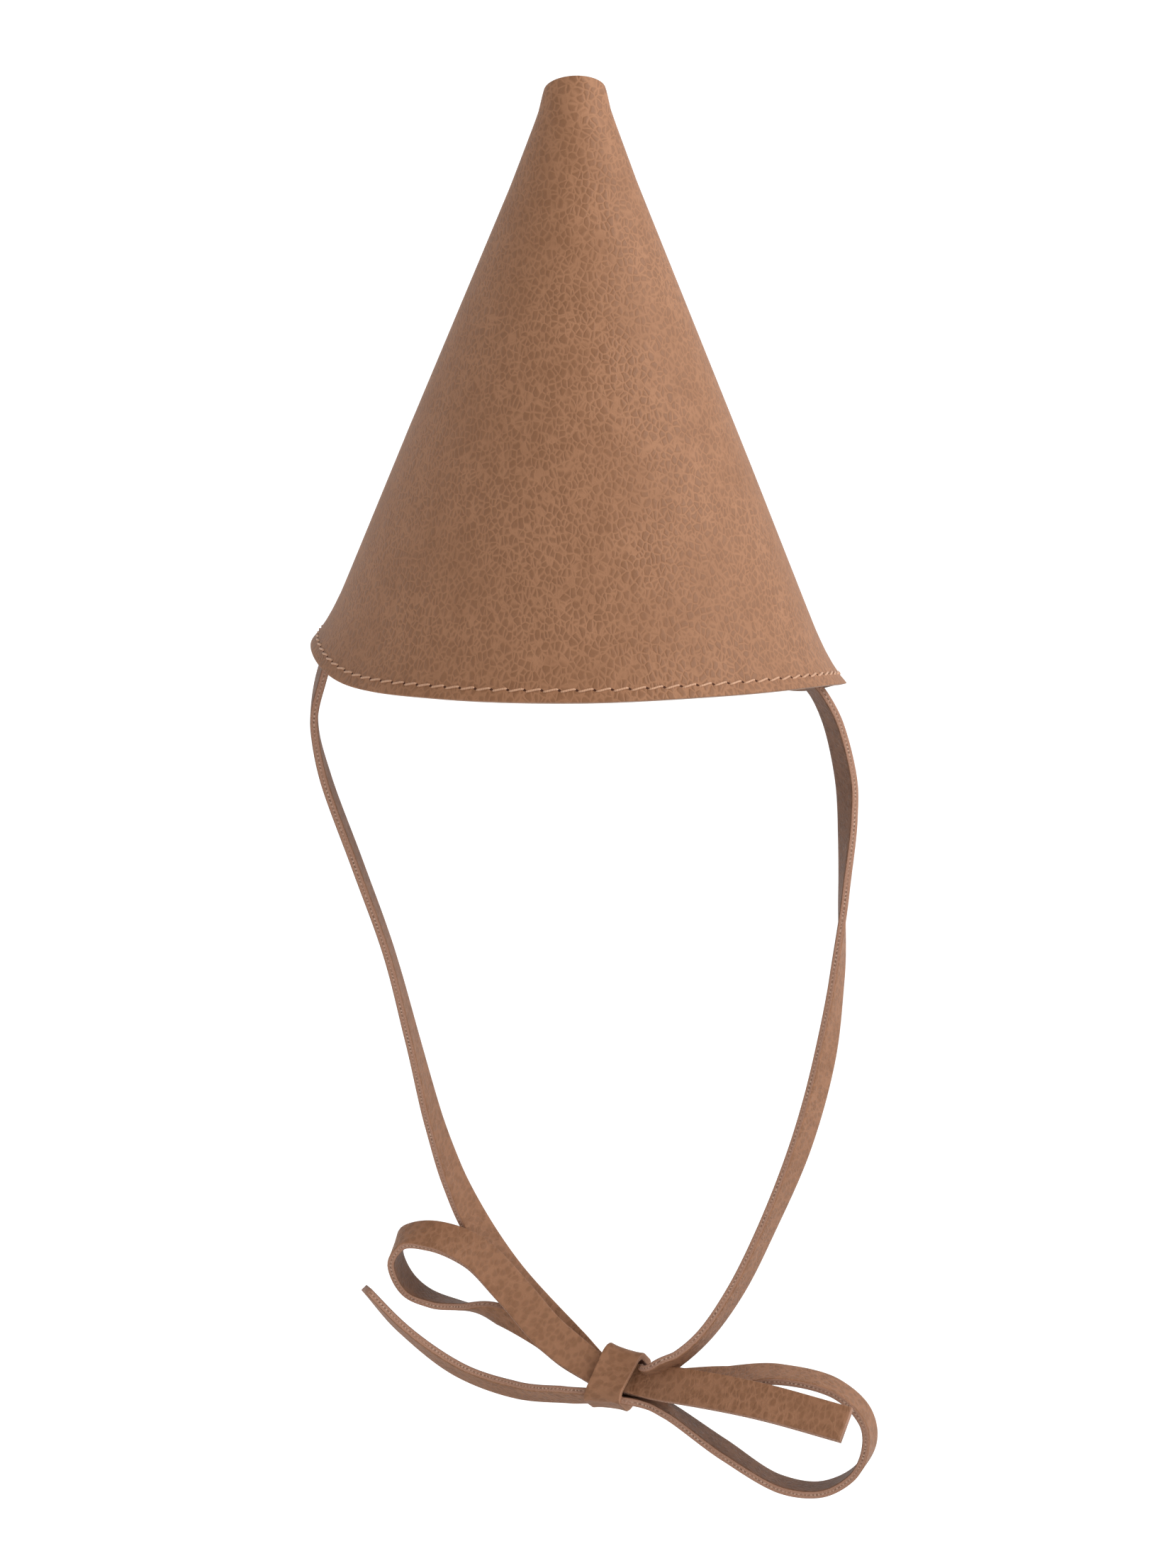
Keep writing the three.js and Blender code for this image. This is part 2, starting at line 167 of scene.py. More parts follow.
# Strands through the wrap from left to right. Tilt is how far the upper edge leans back.
Strand = namedtuple("Strand", "along back up tilt")
FRONT_STRIP = [Strand(-6.2, -1.4, 0.55, 0), Strand(0, -1.1, 0.6, 7), Strand(6.2, -0.5, 0.75, 15)]
RETURN_STRIP = [
    Strand(-6.2, 1.1, 0.55, 0), Strand(0, 1.3, 0.8, 3), Strand(5.4, 1.6, 1.05, 0), Strand(9, 1, 2.1, -15),
]
NECK_STRAP = [Strand(-6.2, 3.9, 0.6, 0), Strand(0, 4.2, 0.6, 2), Strand(6.2, 4.6, 0.6, 2)]
LOWER_STRIP = [Strand(-6.2, 2.9, -6.9, -78), Strand(0, 2.3, -6.1, -88), Strand(6.2, 1.8, -5.1, -98)]

# Routes of the ties. Roll 0 has the width running front to back, 90 has the face to the front.
Stop = namedtuple("Stop", "x y z roll")
RIGHT_TIE_DOWN = [
    Stop(58.6, 13, 9, -15), Stop(61.7, 13.4, 1, -15), Stop(65.1, 13.8, -4.5, -15), Stop(69, 14, -9.4, -16),
    Stop(73.1, 15, -17.7, -20), Stop(77.1, 16, -33.9, -23), Stop(77.7, 15.5, -44.5, -18),
    Stop(76.7, 13, -66.9, -1), Stop(74.7, 8.5, -91, 20), Stop(70.7, 3, -114.7, 34),
    Stop(63.8, -1.5, -138.7, 35), Stop(53.7, -4.5, -163.1, 29), Stop(45.6, -6, -179.5, 29),
    Stop(37.2, -7, -191.9, 28), Stop(30.3, -6, -199, 31), Stop(25.7, -4.5, -202.4, 42),
]
LEFT_LOOP = [
    Stop(1, 8.6, -205.7, 95), Stop(-10.9, 14, -199.2, 66), Stop(-24.5, 19.5, -195.2, 45),
    Stop(-34.9, 24, -194.5, 14), Stop(-43.9, 25, -192.6, -1), Stop(-50.8, 24.5, -187.8, -15),
    Stop(-54.2, 22, -178.6, -12), Stop(-51.6, 20, -172.1, 11), Stop(-42.9, 18, -170.9, 32),
    Stop(-30.6, 16.5, -175.5, 52), Stop(-19.8, 14, -185.9, 71), Stop(-8.3, 9.5, -198, 73),
    Stop(2, 6.4, -205.3, 70),
]
RIGHT_TAIL = [Stop(29.6, -9, -207.3, 50), Stop(51.6, -22.2, -206.9, 50), Stop(75.4, -34, -209.5, 49)]
LEFT_TIE_DOWN = [
    Stop(-60.8, 0, 22, -6), Stop(-65.5, 0, 13, -7), Stop(-69.2, 0, 5, -9), Stop(-71.9, 0, -3, -10),
    Stop(-73.9, 0, -12.6, -5), Stop(-73.7, 0.5, -19.7, -4), Stop(-71, 1.5, -32, 1), Stop(-62.6, 4, -57, 2),
    Stop(-54.4, 7.5, -82.4, 2), Stop(-48.3, 12.6, -108.7, 7), Stop(-42.4, 19, -135.9, 16),
    Stop(-37.1, 23.5, -154.4, 26), Stop(-31.3, 27, -168.6, 37), Stop(-20.9, 27.5, -185.7, 47),
    Stop(-5.8, 21, -201.3, 60),
]
RIGHT_LOOP = [
    Stop(30.1, 4.5, -211.7, 30), Stop(42.2, -3, -207.5, 11), Stop(58.1, -11, -203.1, 3),
    Stop(74.1, -15, -205.9, 6), Stop(82.3, -16.5, -213.7, 14), Stop(83.6, -16, -222.7, 20),
    Stop(79.7, -14.5, -231.4, 15), Stop(70.6, -12, -237.3, 8), Stop(58.6, -9, -236.9, 1),
    Stop(42.2, -5.5, -227.7, -6), Stop(25.8, -2, -217.1, 0), Stop(21.5, -0.8, -215.7, 8),
]
LEFT_TAIL = [
    Stop(-3.2, 9, -216.6, 40), Stop(-17.9, 15.5, -217.6, 39), Stop(-34.9, 19, -212.8, 33),
    Stop(-51.7, 20.5, -200.6, 24), Stop(-62.8, 20.5, -188.2, 17),
]

# Colours are linear. A leather's grain is its number of cells in a metre. A shade says how far its colour
# goes from dark to light by a cell's distance from its edge or, for F1, from its middle.
Shade = namedtuple("Shade", "feature near far at_near at_far")
CREASED = Shade("DISTANCE_TO_EDGE", 0.0, 0.19, 0.75, 0.0)
PEBBLED = Shade("F1", 0.36, 0.68, 0.0, 0.8)
Leather = namedtuple("Leather", "dark light grain shade")
CROWN_LEATHER = Leather((0.175, 0.076, 0.033, 1), (0.28, 0.134, 0.068, 1), 540, CREASED)
TIE_LEATHER = Leather((0.174, 0.077, 0.035, 1), (0.239, 0.112, 0.057, 1), 560, PEBBLED)
# The ties' inner face is the grain face's leather painted darker: painted shade, because the inner faces lie
# in shade.
TIE_INNER_PAINTED_SHADE = Leather((0.11, 0.047, 0.022, 1), (0.155, 0.071, 0.037, 1), 560, PEBBLED)
Edge = namedtuple("Edge", "plain light dark")
CROWN_EDGE = Edge((0.27, 0.155, 0.105, 1), (0.45, 0.34, 0.28, 1), (0.15, 0.09, 0.065, 1))
TIE_EDGE = Edge((0.25, 0.125, 0.078, 1), (0.42, 0.29, 0.22, 1), (0.11, 0.06, 0.04, 1))
# The wrap's cut edge is the same edge as the ties', painted lighter and plainer: painted light, for the light
# that edge catches from the right.
WRAP_EDGE_PAINTED_LIGHT = Edge((0.34, 0.178, 0.106, 1), (0.37, 0.2, 0.125, 1), (0.27, 0.14, 0.08, 1))
THREAD_COLOURS = ((0.33, 0.17, 0.095, 1), (0.47, 0.27, 0.165, 1))
# Needle holes are flat dark ovals on the leather: painted shade inside the holes.
HOLE_SHADE_COLOURS = ((0.035, 0.012, 0.007, 1), (0.07, 0.028, 0.016, 1))

# Grain: how its cells are bent, turned, stretched and scattered, how much each layer adds, how many waves of
# broad and fine unevenness there are in a metre, and how many patches of tone for each cell
WARP_SCALE = 300.0
WARP_REACH = 0.0016
GRAIN_TURN = 24
GRAIN_STRETCH = (1.2, 0.82, 1)
GRAIN_SCATTER = 0.85
GRAIN_HEIGHT = 0.87
CRUMB_SIZE = 2.3
CRUMB_SHARE = 0.15
TONE_SHARE = 0.2
FINE_SHARE = 0.08
BROAD_SCALE = 40.0
FINE_SCALE = 2600.0
TONE_SIZE = 0.3

# Bonded core of a cut edge, in metres: its half width where it is full and where it has faded, how far it
# wanders, and the pitch of its specks
CORE_FULL = 0.00008
CORE_FADED = 0.0003
CORE_WANDER = 0.0005
SPECK_PITCH = 0.0012
SPECK_JITTER = 9.0

# Waves in a metre: a cut edge's roughness, fuzz and patches, the thread's strands and a hole's speckle
ROUGH_SCALE = 600.0
FUZZ_SCALE = 3000.0
PATCH_SCALE = 130.0
STRAND_SCALE = 700.0
SPECKLE_SCALE = 2500.0

# Relief of each material: strength, and depth in metres
GRAIN_RELIEF = (0.6, 0.00022)
EDGE_RELIEF = (0.4, 0.00012)
THREAD_RELIEF = (0.5, 0.00006)

# Stage, in metres: the floor's rings, its bend up into the backdrop, and where its glow starts and is full
FLOOR_DROP = 0.42
FLOOR_RINGS = (0.05, 0.4, 1.2)
FLOOR_REACH = 2.6
FLOOR_BEND = 1.2
BEND_TURNS = np.linspace(6, 90, 15)
BACKDROP_TOP = 3.6
FLOOR_SIDES = 96
FLOOR_TONE = (0.6, 0.6, 0.6, 1)
GLOW_START = 0.16
GLOW_FULL = 0.36
GLOW_STRENGTH = 0.62

# Lights, in metres and watts
WORLD_STRENGTH = 0.2
Light = namedtuple("Light", "name place target size watts")
LIGHTS = [
    Light("key", (0.85, -0.3, 0.75), (0, 0, 0), 0.8, 15),
    Light("fill", (-0.6, -1.75, 0.35), (0, 0, -0.1), 1.2, 3),
]


def unit(vector):
    """The same direction at length one."""
    return vector / np.linalg.norm(vector)


def lookup(table, value):
    """Second column of a two-column table at a value of the first, straight from row to row."""
    rows = np.array(table, float)
    return np.interp(value, rows[:, 0], rows[:, 1])


def hermite(start, end, leave, arrive, t):
    """Point of a cubic from start to end with those slopes at its ends."""
    return (
        start
        + leave * t
        + (3 * (end - start) - 2 * leave - arrive) * t**2
        + (2 * (start - end) + leave + arrive) * t**3
    )


def around(points, at):
    """The four points round a place on an open curve, and how far it is between the middle two."""
    last = len(points) - 1
    row = min(int(at), last - 1)
    before = points[row - 1] if row > 0 else 2 * points[0] - points[1]
    after = points[row + 2] if row + 2 <= last else 2 * points[last] - points[last - 1]
    return before, points[row], points[row + 1], after, at - row


def curve_point(points, at):
    """Point of a smooth curve through the points: 0 is the first, 1 the second and so on."""
    before, start, end, after, t = around(points, at)
    d0, d1, d2 = (np.linalg.norm(q - p) ** 0.5 for p, q in ((before, start), (start, end), (end, after)))
    leave = (start - before) / d0 - (end - before) / (d0 + d1) + (end - start) / d1
    arrive = (end - start) / d1 - (after - start) / (d1 + d2) + (after - end) / d2
    return hermite(start, end, leave * d1, arrive * d1, t)


def curve_value(values, at):
    """The same for single numbers, with little overshoot."""
    before, start, end, after, t = around(values, at)
    return hermite(start, end, ROLL_TENSION * (end - before), ROLL_TENSION * (after - start), t)


def rim_height(angle):
    """Height of the rim at an angle from +X."""
    count = len(RIM_WAVE)
    at = (angle / (2 * math.pi) % 1.0) * count
    row = int(at) % count
    before, start, end, after = (RIM_WAVE[(row + step) % count] for step in (-1, 0, 1, 2))
    return hermite(start, end, (end - before) / 2, (after - start) / 2, at - int(at))


def rim_radius(angle):
    """Outer radius of the rim at an angle: an oval."""
    off = angle - math.radians(RIM_TURN)
    return RIM_LONG * RIM_SHORT / math.hypot(RIM_SHORT * math.cos(off), RIM_LONG * math.sin(off))


def tip_height(angle):
    """Height of the tip's slanted cut at an angle."""
    reach = TIP_RADIUS + FLARE[-1].out + NECK[0].out
    return TIP_HEIGHT - reach * math.sin(angle - math.radians(TIP_TURN)) * math.tan(math.radians(TIP_SLOPE))


def wall_point(angle, share):
    """Radius and height of the outer face at an angle, share 0 at the rim and 1 at the tip."""
    bottom, top = rim_height(angle), tip_height(angle)
    z = bottom + (top - bottom) * share
    straight = (rim_radius(angle) - FLARE[0].out) * (1 - share) + TIP_RADIUS * share
    return np.array((straight + lookup(FLARE, z - bottom) + lookup(NECK, top - z), z))


def wall_axes(angle, share):
    """Outer face point with the direction up the wall and the direction inward, in radius and height."""
    above = wall_point(angle, min(share + SLOPE_STEP, 1))
    below = wall_point(angle, max(share - SLOPE_STEP, 0))
    up = unit(above - below)
    return wall_point(angle, share), up, np.array((-up[1], up[0]))


def in_space(angle, point, share):
    """A radius and height turned to its angle, with the tip's small shift to the side."""
    return np.array((point[0] * math.cos(angle) + TIP_SHIFT * share, point[0] * math.sin(angle), point[1]))


def turned_from(start, angle):
    """How far an angle is turned from a start, at most half a turn either way."""
    return (angle - start + math.pi) % (2 * math.pi) - math.pi


def lap_lift(angle, share):
    """How far the lapped strip at the back stands proud of the wall, with a soft step at its edges."""
    aside = abs(turned_from(BACK, angle)) * wall_point(angle, share)[0]
    return LAP_RAISED * np.clip((LAP_WIDTH / 2 + LAP_STEP / 2 - aside) / LAP_STEP, 0, 1)


def sheet_place(angle, z):
    """Where a point of the cone lies on the flat sheet it is rolled from, in metres."""
    slant = math.atan2(RIM_LONG - FLARE[0].out - TIP_RADIUS, TIP_HEIGHT)
    apex = TIP_HEIGHT + TIP_RADIUS / math.tan(slant)
    reach = (apex - z) / math.cos(slant) * MM
    turned = turned_from(FRONT, angle) * math.sin(slant)
    return reach * math.sin(turned), -reach * math.cos(turned)


def new_object(name, points, faces, uvs=None, kinds=None):
    """A smooth-shaded mesh from points in millimetres, with a place on the leather for each face corner."""
    mesh = bpy.data.meshes.new(name)
    mesh.from_pydata([tuple(point * MM) for point in points], [], faces)
    if uvs is not None:
        layer = mesh.uv_layers.new(name="leather")
        layer.data.foreach_set("uv", np.array(uvs, np.float32).ravel())
    if kinds is not None:
        mesh.polygons.foreach_set("material_index", np.array(kinds, np.int32))
    mesh.polygons.foreach_set("use_smooth", np.ones(len(mesh.polygons), bool))
    mesh.update()
    made = bpy.data.objects.new(name, mesh)
    bpy.context.scene.collection.objects.link(made)
    return made


def lofted(name, rings, places, cuts, kinds, closed, capped=None):
    """A mesh from equal rings of points. places[ring][side] is where a point lies on the leather, with one
    ring and one side more than there are quads, and cuts[ring][side] the same for quads on a cut edge.
    kinds[side] is the kind of the quads beside each ring edge.
    capped holds the places of an end cap's points, or is None for a mesh without caps."""
    count = len(rings[0])
    points = [point for ring in rings for point in ring]
    faces, uvs, sorts = [], [], []
    for ring in range(len(rings) if closed else len(rings) - 1):
        following = (ring + 1) % len(rings)
        for side in range(count):
            beside = (side + 1) % count
            low, high = ring * count, following * count
            faces.append((low + side, low + beside, high + beside, high + side))
            spots = cuts if kinds[side] == CUT else places
            uvs += [*spots[ring][side:side + 2], *reversed(spots[ring + 1][side:side + 2])]
            sorts.append(kinds[side])
    if capped:
        for ring in (0, len(rings) - 1):
            order = list(range(count))[:: 1 if ring else -1]
            faces.append([ring * count + side for side in order])
            uvs += [capped[side] for side in order]
            sorts.append(CUT)
    return new_object(name, points, faces, uvs, sorts)


def set_camera():
    """The photograph's view."""
    rise = math.radians(CAMERA_ELEVATION)
    camera = bpy.data.cameras.new("camera")
    camera.lens = CAMERA_LENS
    camera.clip_start, camera.clip_end = 0.05, 50
    holder = bpy.data.objects.new("camera", camera)
    x, y, z = CAMERA_TARGET
    holder.location = (
        x * MM,
        (y - CAMERA_DISTANCE * math.cos(rise)) * MM,
        (z + CAMERA_DISTANCE * math.sin(rise)) * MM,
    )
    holder.rotation_euler = (math.pi / 2 - rise, 0, 0)
    bpy.context.scene.collection.objects.link(holder)
    bpy.context.scene.camera = holder


def edge_steps():
    """Places through the wall's thickness of a cut edge's points, and how far its corners round them off."""
    turns = np.radians(CORNER_TURNS)
    outer = [(EDGE_ROUND * (1 - math.cos(turn)), EDGE_ROUND * (1 - math.sin(turn))) for turn in turns]
    flat = [(WALL * share, 0) for share in EDGE_SHARES]
    inner = [(WALL - through, lift) for through, lift in reversed(outer)]
    return outer + flat + inner


def rounded_edge(point, up, inward, cut=0.0):
    """The wall's cut edge with rounded corners, from the outer face to the inner face, which ends higher."""
    return [point + inward * through + up * (lift + cut * through / WALL) for through, lift in edge_steps()]


def wall_shares():
    """Heights of the rows of the wall's faces, as shares of the way from the rim to the tip."""
    near_rim = np.array(ROWS_ABOVE_RIM) / TIP_HEIGHT
    middle = np.linspace(MIDDLE_ABOVE_RIM, TIP_HEIGHT - MIDDLE_BELOW_TIP, MIDDLE_ROWS) / TIP_HEIGHT
    near_tip = 1 - np.array(ROWS_BELOW_TIP) / TIP_HEIGHT
    return [*near_rim, *middle, *near_tip]


def wall_ring(angle):
    """One closed slice through the wall: edge at the rim, inner face up, edge at the tip, outer face down."""
    shares = wall_shares()
    rim, up, inward = wall_axes(angle, 0)
    slice_points = [in_space(angle, point, 0) for point in rounded_edge(rim, up, inward, RIM_CUT)]
    for share in shares:
        point, _, inward = wall_axes(angle, share)
        slice_points.append(in_space(angle, point + inward * WALL, share))
    tip, up, inward = wall_axes(angle, 1)
    slice_points += [in_space(angle, point, 1) for point in reversed(rounded_edge(tip, -up, inward))]
    for share in reversed(shares):
        point, _, inward = wall_axes(angle, share)
        above_line = (point[1] - rim[1]) * WALL_SLANT - STITCH_UP
        groove = GROOVE_DEEP * math.exp(-(above_line / GROOVE_WIDE) ** 2)
        slice_points.append(in_space(angle, point + inward * (groove - lap_lift(angle, share)), share))
    return slice_points


def make_crown():
    """The cone's wall."""
    angles = [BACK + 2 * math.pi * column / COLUMNS for column in range(COLUMNS + 1)]
    rings = [wall_ring(angle) for angle in angles[:-1]]
    steps = [through - WALL / 2 for through, _ in edge_steps()]
    edge = len(steps)
    rows = len(wall_shares())
    kinds = [FACE] * len(rings[0])
    cut_quads = edge - 1 - 2 * CORNER_QUADS
    for start in (CORNER_QUADS, edge + rows + CORNER_QUADS):
        kinds[start:start + cut_quads] = [CUT] * cut_quads
    across = [*steps, *[0] * rows, *reversed(steps), *[0] * (rows + 1)]
    places, cuts = [], []
    for column, angle in enumerate(angles):
        ring = rings[column % COLUMNS]
        turned = angle - BESIDE_SEAM if column == COLUMNS else angle + BESIDE_SEAM
        row = [sheet_place(turned, point[2]) for point in ring]
        places.append(row + [row[0]])
        radii = [math.hypot(point[0], point[1]) for point in (*ring, ring[0])]
        cuts.append([(turned * radius * MM, step * MM) for radius, step in zip(radii, across)])
    return lofted("crown_leather", rings, places, cuts, kinds, closed=True)


def knot_axes():
    """Directions along the knot's strands, behind them and above them."""
    slope, turn, lean = (math.radians(value) for value in (KNOT_SLOPE, KNOT_TURN, KNOT_LEAN))
    along = np.array((math.cos(slope) * math.cos(turn), -math.cos(slope) * math.sin(turn), -math.sin(slope)))
    level = np.array((math.sin(turn), math.cos(turn), 0))
    upright = np.cross(along, level)
    up = upright * math.cos(lean) - np.cross(along, upright) * math.sin(lean)
    return along, np.cross(up, along), up


KNOT_ALONG, KNOT_BACK, KNOT_UP = knot_axes()


def knot_point(along, back, up):
    """A point given by its place along, behind and above the knot's centre."""
    return KNOT_CENTRE + KNOT_ALONG * along + KNOT_BACK * back + KNOT_UP * up


def strap_axes(along):
    """The part of the front direction square to a strap's run, and the direction beside it."""
    front = np.array((0.0, -1.0, 0.0))
    level = unit(front - along * front.dot(along))
    return level, np.cross(along, level)


def through_knot(strand, way):
    """Stops that carry a strand through the wrap: way 1 runs right, -1 left."""
    level, beside = strap_axes(KNOT_ALONG * way)
    stops = []
    for row in strand:
        tilt = math.radians(row.tilt)
        across = -way * (KNOT_UP * math.cos(tilt) + KNOT_BACK * math.sin(tilt))
        roll = math.degrees(math.atan2(across.dot(beside), across.dot(level)))
        stops.append(Stop(*knot_point(row.along, row.back, row.up), roll))
    return stops if way > 0 else stops[::-1]


def squeeze(point):
    """How wide a strap is at a point, as a share of its full width: less inside the knot."""
    away = (np.linalg.norm(point - KNOT_CENTRE) - SQUEEZE_NEAR) / (SQUEEZE_REACH - SQUEEZE_NEAR)
    away = np.clip(away, 0, 1)
    return 1 - KNOT_SQUEEZE * (1 - away**2 * (3 - 2 * away))


def flat_section(width, thick):
    """Outline of a flat strap's section with rounded corners: pairs of place across and place through.
    It starts in the middle of the grain face and is the same in all its quarters."""
    r = TIE_ROUND
    w, t = width / 2, thick / 2
    face = [(share * (w - r), t) for share in np.linspace(-1, 1, FACE_POINTS)]
    turns = np.radians(CORNER_TURNS[1:])
    corner = [(w - r + r * math.sin(turn), t - r + r * math.cos(turn)) for turn in turns]
    edge = [(w, 0.35 * t), (w, 0)]
    quarter = [*face[FACE_POINTS // 2:], *corner, *edge]
    half = quarter + [(u, -v) for u, v in reversed(quarter[:-1])]
    return half + [(-u, v) for u, v in reversed(half[1:-1])]


def section_kinds(section, width):
    """The kind of each quad round a strap's section."""
    kinds = []
    for (u, v), (next_u, next_v) in zip(section, [*section[1:], section[0]]):
        if abs(u + next_u) / 2 > width / 2 - EDGE_MARGIN:
            kinds.append(CUT)
        else:
            kinds.append(FACE if v + next_v > 0 else INNER)
    return kinds


def section_steps(section):
    """How far round the section each point lies, in metres. The section starts in the middle of a face, so
    its last quarter counts back from there, and the grain has no seam on either face."""
    steps = [0.0]
    for (u, v), (next_u, next_v) in zip(section, [*section[1:], section[0]]):
        steps.append(steps[-1] + math.hypot(next_u - u, next_v - v) * MM)
    last_quarter = 0.75 * len(section)
    return [step - steps[-1] if at > last_quarter else step for at, step in enumerate(steps)]


def strap_mesh(name, rings, section, width, closed):
    """A strap's mesh from its rings, with places on the leather from the lengths along and round it."""
    middles = [np.mean(ring, axis=0) for ring in rings]
    ahead = [np.linalg.norm(there - here) for here, there in zip(middles, [*middles[1:], middles[0]])]
    lengths = np.concatenate(([0.0], np.cumsum(ahead))) * MM
    round_it = section_steps(section)
    places = [[(length, step) for step in round_it] for length in lengths]
    cuts = [[(length + u * MM, v * MM) for u, v in (*section, section[0])] for length in lengths]
    capped = None if closed else [(v * MM, u * MM) for u, v in section]
    return lofted(name, rings, places, cuts, section_kinds(section, width), closed, capped)


def make_tie(name, route):
    """A tie along its route, with a section every millimetre or so."""
    points = [np.array(stop[:3]) for stop in route]
    rolls = [stop.roll for stop in route]
    section = flat_section(TIE_WIDTH, TIE_THICK)
    rings = []
    for row in range(len(points) - 1):
        steps = max(2, round(np.linalg.norm(points[row + 1] - points[row]) / TIE_STEP))
        last = row == len(points) - 2
        for at in np.linspace(row, row + 1, steps + 1)[: None if last else -1]:
            ends = (max(at - SLOPE_STEP, 0), min(at + SLOPE_STEP, len(points) - 1))
            along = unit(curve_point(points, ends[1]) - curve_point(points, ends[0]))
            roll = math.radians(curve_value(rolls, at))
            level, beside = strap_axes(along)
            middle = curve_point(points, at)
            across = level * math.cos(roll) + beside * math.sin(roll)
            normal = np.cross(across, along)
            rings.append([middle + across * u * squeeze(middle) + normal * v for u, v in section])
    return strap_mesh(name, rings, section, TIE_WIDTH, closed=False)


def wrap_outline(share, grow):
    """The wrap's inside outline, grown outward, at a share of the way from its left end: back and up."""
    spots = []
    for corner in WRAP_CORNERS:
        back, up, bend = np.array(corner.left) * (1 - share) + np.array(corner.right) * share
        for angle in np.radians(corner.start + np.linspace(0, 90, BEND_POINTS)):
            way = np.array((math.cos(angle), math.sin(angle)))
            spots.append(np.array((back, up)) + (bend + grow) * way)
    full = []
    for at, (here, there) in enumerate(zip(spots, [*spots[1:], spots[0]])):
        on_side = at % BEND_POINTS == BEND_POINTS - 1
        steps = np.arange(SIDE_STEPS) / SIDE_STEPS if on_side else (0,)
        full += [here + (there - here) * step for step in steps]
    return full


def make_wrap():
    """The band round the knot, curled outward at its two edges."""
    section = flat_section(WRAP_WIDTH, TIE_THICK)
    columns = []
    for u, v in section:
        grow = v + TIE_THICK / 2 + lookup(WRAP_CURL, 2 * u / WRAP_WIDTH)
        outline = wrap_outline(u / WRAP_WIDTH + 0.5, grow)
        columns.append([knot_point(u + WRAP_SKEW * up, back, up) for back, up in outline])
    return strap_mesh("wrap_leather", list(zip(*columns)), section, WRAP_WIDTH, closed=True)


def stitch_line():
    """Angles of the needle holes, one pitch apart along a line just above the rim."""
    share = STITCH_UP / WALL_SLANT / TIP_HEIGHT
    angles = FRONT + np.linspace(0, 2 * math.pi, LINE_POINTS)
    line = np.array([in_space(angle, wall_point(angle, share), share) for angle in angles])
    lengths = np.concatenate(([0.0], np.cumsum(np.linalg.norm(np.diff(line, axis=0), axis=1))))
    count = round(lengths[-1] / STITCH_PITCH)
    wanted = (np.arange(count) + STITCH_PHASE / STITCH_PITCH) * lengths[-1] / count
    return share, np.interp(wanted, lengths, angles)


def stitch_axes(angle, share, inside):
    """A point of the stitch line with the directions round the rim, up the wall and out of the leather."""
    point, up, inward = wall_axes(angle, share)
    lift = WALL if inside else GROOVE_DEEP - lap_lift(angle, share)
    spot = in_space(angle, point + inward * lift, share)
    outward = -in_space(angle, inward, 0) * (-1 if inside else 1)
    rising = in_space(angle, up, 0)
    return spot, unit(outward), unit(rising)


def thread_and_holes():
    """Every stitch as a short slanted thread that dives into a hole at each end, on both faces of the rim."""
    share, angles = stitch_line()
    threads, holes = [], []
    for inside in (False, True):
        for here, there in zip(angles, [*angles[1:], angles[0] + 2 * math.pi]):
            start, outward, rising = stitch_axes(here, share, inside)
            end = stitch_axes(there, share, inside)[0]
            threads.append(thread_rings(start, end, outward, rising))
            holes.append(hole_ring(start, end, outward, rising))
    return threads, holes


def thread_rings(start, end, outward, rising):
    """Rings of one stitch: sunk at its ends, proud of the leather between."""
    along = unit(end - start)
    length = np.linalg.norm(end - start)
    rings = []
    for share in np.linspace(0, 1, THREAD_RINGS):
        off = 2 * share - 1
        # It rises steeply from its hole, lies almost level and dives only in its last bit
        lift = THREAD_PROUD * math.sin(math.pi * share) ** 0.35 - THREAD_SINK * off**12
        slant = THREAD_SLANT * math.sin(math.pi * (share - 0.5))
        reach = THREAD_INSET + share * (length - 2 * THREAD_INSET)
        middle = start + along * reach + outward * lift + rising * slant
        radius = THREAD_RADIUS * (1 - THREAD_THINNING * off**6)
        rings.append(oval(middle, outward * radius, rising * radius, THREAD_SIDES))
    return rings


def oval(middle, first, second, sides):
    """Points of an oval, given its middle and its two half axes."""
    turns = np.arange(sides) * 2 * math.pi / sides
    return [middle + first * math.cos(turn) + second * math.sin(turn) for turn in turns]


def hole_ring(start, end, outward, rising):
    """A slit where the needle went through, slanting down to the right."""
    along = unit(end - start)
    lean = math.radians(HOLE_LEAN)
    long_way = along * math.cos(lean) + rising * math.sin(lean)
    wide_way = rising * math.cos(lean) - along * math.sin(lean)
    return oval(start + outward * HOLE_PROUD, long_way * HOLE_LONG, wide_way * HOLE_WIDE, HOLE_SIDES)


def make_stitches():
    """One mesh of all threads and one of all holes."""
    threads, holes = thread_and_holes()
    points = [point for rings in threads for ring in rings for point in ring]
    faces = []
    for base in range(0, len(points), THREAD_RINGS * THREAD_SIDES):
        for low in range(base, base + (THREAD_RINGS - 1) * THREAD_SIDES, THREAD_SIDES):
            high = low + THREAD_SIDES
            for side in range(THREAD_SIDES):
                beside = (side + 1) % THREAD_SIDES
                faces.append((low + side, high + side, high + beside, low + beside))
    thread = new_object("rim_thread", points, faces)
    points = [point for ring in holes for point in ring]
    faces = [tuple(range(base, base + HOLE_SIDES)) for base in range(0, len(points), HOLE_SIDES)]
    return thread, new_object("rim_holes", points, faces)


def add_node(tree, kind, links=(), **settings):
    """A node with its settings and its linked or fixed inputs."""
    node = tree.nodes.new(kind)
    for key, value in settings.items():
        setattr(node, key, value)
    for name, value in dict(links).items():
        socket = node.inputs[name]
        if isinstance(value, bpy.types.NodeSocket):
            tree.links.new(value, socket)
        else:
            socket.default_value = value
    return node


def maths(tree, operation, first, second=None, third=None):
    """A maths node's result."""
    links = {0: first}
    if second is not None:
        links[1] = second
    if third is not None:
        links[2] = third
    return add_node(tree, "ShaderNodeMath", links, operation=operation).outputs[0]


